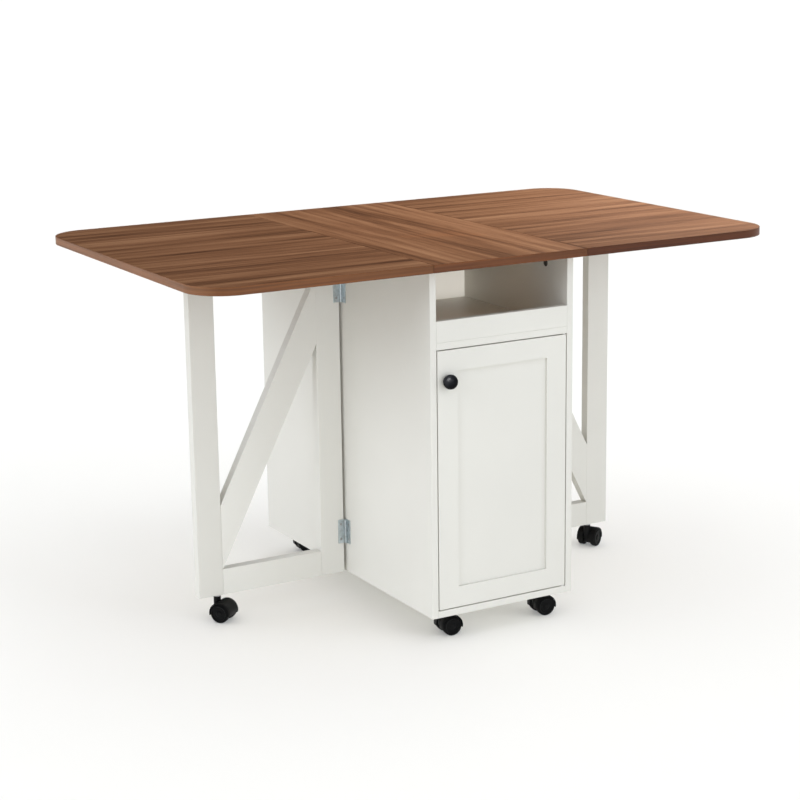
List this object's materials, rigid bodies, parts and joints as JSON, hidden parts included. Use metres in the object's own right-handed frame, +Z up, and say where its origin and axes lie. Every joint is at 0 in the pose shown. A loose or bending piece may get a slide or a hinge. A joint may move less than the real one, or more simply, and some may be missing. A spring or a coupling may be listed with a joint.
{
  "type": "kitchen table with storage cabinet",
  "caption": "Kitchen table on casters: a walnut top with hinged end leaves over a white cabinet with a niche and a door, the leaves carried by braced swing-out gate legs.",
  "frame": {"origin": "on the floor under the middle of the top", "axes": "+X along the length of the top, -Y to the door, +Z up"},
  "size_m": [1.29, 0.8, 0.765],
  "materials": {
    "walnut_board": "satin walnut grain",
    "white_panel": "white satin paint",
    "hinge_zinc": "zinc plated",
    "bright_steel": "bright steel",
    "stem_steel": "plain steel",
    "caster_black": "black",
    "wheel_black": "black",
    "knob_black": "black",
    "beech_dowel": "raw beech",
    "cam_dark": "dark",
    "white_plastic": "white"
  },
  "bodies": {
    "cabinet": {"top_centre": "walnut_board", "side_panel_left": "white_panel", "side_panel_right": "white_panel", "base_panel": "white_panel", "niche_floor": "white_panel", "mid_partition": "white_panel", "lip_rail": "white_panel", "rear_shelf": "white_panel", "cabinet_shelf": "white_panel", "shelf_pins": "bright_steel", "cam_fittings": "cam_dark", "carcass_dowels": "beech_dowel", "gate_hinge_fixed_plates": "hinge_zinc", "leaf_hinge_fixed_plates": "hinge_zinc", "hinge_pins": "bright_steel", "cabinet_screws": "bright_steel", "caster_stems": "stem_steel", "door_pivot_bushes": "white_plastic", "door_catch": "white_plastic"},
    "left_leaf": {"leaf_left": "walnut_board", "leaf_hinge_plates_left": "hinge_zinc", "leaf_screws_left": "bright_steel"},
    "right_leaf": {"leaf_right": "walnut_board", "leaf_hinge_plates_right": "hinge_zinc", "leaf_screws_right": "bright_steel"},
    "left_gate": {"gate_left_inner_post": "white_panel", "gate_left_outer_post": "white_panel", "gate_left_bottom_rail": "white_panel", "gate_left_top_rail": "white_panel", "gate_left_brace": "white_panel", "gate_left_hinge_plates": "hinge_zinc", "gate_left_screws": "bright_steel", "gate_left_dowels": "beech_dowel", "gate_left_caster_stem": "stem_steel"},
    "right_gate": {"gate_right_inner_post": "white_panel", "gate_right_outer_post": "white_panel", "gate_right_bottom_rail": "white_panel", "gate_right_top_rail": "white_panel", "gate_right_brace": "white_panel", "gate_right_hinge_plates": "hinge_zinc", "gate_right_screws": "bright_steel", "gate_right_dowels": "beech_dowel", "gate_right_caster_stem": "stem_steel"},
    "door_body": {"door": "white_panel", "knob": "knob_black", "knob_screw": "bright_steel", "door_pivot_pins": "bright_steel", "door_strike": "bright_steel"},
    "swivel_front_left": {"caster_hood_front_left": "caster_black"},
    "wheels_front_left": {"caster_wheels_front_left": "wheel_black"},
    "swivel_front_right": {"caster_hood_front_right": "caster_black"},
    "wheels_front_right": {"caster_wheels_front_right": "wheel_black"},
    "swivel_rear_left": {"caster_hood_rear_left": "caster_black"},
    "wheels_rear_left": {"caster_wheels_rear_left": "wheel_black"},
    "swivel_rear_right": {"caster_hood_rear_right": "caster_black"},
    "wheels_rear_right": {"caster_wheels_rear_right": "wheel_black"},
    "swivel_gate_left": {"caster_hood_gate_left": "caster_black"},
    "wheels_gate_left": {"caster_wheels_gate_left": "wheel_black"},
    "swivel_gate_right": {"caster_hood_gate_right": "caster_black"},
    "wheels_gate_right": {"caster_wheels_gate_right": "wheel_black"}
  },
  "joints": [
    {"name": "left_leaf_lift", "type": "hinge", "parent": "cabinet", "child": "left_leaf", "pos_m": [-0.174, 0, 0.7475], "axis": [0, 1, 0], "range_deg": [0, 2]},
    {"name": "right_leaf_lift", "type": "hinge", "parent": "cabinet", "child": "right_leaf", "pos_m": [0.174, 0, 0.7475], "axis": [0, -1, 0], "range_deg": [0, 2]},
    {"name": "left_gate_swing", "type": "hinge", "parent": "cabinet", "child": "left_gate", "pos_m": [-0.167, -0.014, 0.4], "axis": [0, 0, 1], "range_deg": [0, 90]},
    {"name": "right_gate_swing", "type": "hinge", "parent": "cabinet", "child": "right_gate", "pos_m": [0.167, -0.014, 0.4], "axis": [0, 0, -1], "range_deg": [0, 90]},
    {"name": "door_swing", "type": "hinge", "parent": "cabinet", "child": "door_body", "pos_m": [0.144, -0.362, 0.331], "axis": [0, 0, 1], "range_deg": [0, 105]},
    {"name": "swivel_front_left_turn", "type": "hinge", "parent": "cabinet", "child": "swivel_front_left", "pos_m": [-0.112, -0.314, 0.04], "axis": [0, 0, 1], "continuous": true},
    {"name": "wheels_front_left_roll", "type": "hinge", "parent": "swivel_front_left", "child": "wheels_front_left", "pos_m": [-0.09805, -0.31522, 0.02], "axis": [0.0872, 0.9962, 0], "continuous": true},
    {"name": "swivel_front_right_turn", "type": "hinge", "parent": "cabinet", "child": "swivel_front_right", "pos_m": [0.112, -0.314, 0.04], "axis": [0, 0, 1], "continuous": true},
    {"name": "wheels_front_right_roll", "type": "hinge", "parent": "swivel_front_right", "child": "wheels_front_right", "pos_m": [0.12595, -0.31522, 0.02], "axis": [0.0872, 0.9962, 0], "continuous": true},
    {"name": "swivel_rear_left_turn", "type": "hinge", "parent": "cabinet", "child": "swivel_rear_left", "pos_m": [-0.112, 0.314, 0.04], "axis": [0, 0, 1], "continuous": true},
    {"name": "wheels_rear_left_roll", "type": "hinge", "parent": "swivel_rear_left", "child": "wheels_rear_left", "pos_m": [-0.09805, 0.31278, 0.02], "axis": [0.0872, 0.9962, 0], "continuous": true},
    {"name": "swivel_rear_right_turn", "type": "hinge", "parent": "cabinet", "child": "swivel_rear_right", "pos_m": [0.112, 0.314, 0.04], "axis": [0, 0, 1], "continuous": true},
    {"name": "wheels_rear_right_roll", "type": "hinge", "parent": "swivel_rear_right", "child": "wheels_rear_right", "pos_m": [0.12595, 0.31278, 0.02], "axis": [0.0872, 0.9962, 0], "continuous": true},
    {"name": "swivel_gate_left_turn", "type": "hinge", "parent": "left_gate", "child": "swivel_gate_left", "pos_m": [-0.46, 0, 0.04], "axis": [0, 0, 1], "continuous": true},
    {"name": "wheels_gate_left_roll", "type": "hinge", "parent": "swivel_gate_left", "child": "wheels_gate_left", "pos_m": [-0.45157, -0.01118, 0.02], "axis": [0.7986, 0.6018, 0], "continuous": true},
    {"name": "swivel_gate_right_turn", "type": "hinge", "parent": "right_gate", "child": "swivel_gate_right", "pos_m": [0.46, 0, 0.04], "axis": [0, 0, 1], "continuous": true},
    {"name": "wheels_gate_right_roll", "type": "hinge", "parent": "swivel_gate_right", "child": "wheels_gate_right", "pos_m": [0.47212, 0.007, 0.02], "axis": [-0.5, 0.866, 0], "continuous": true}
  ]
}
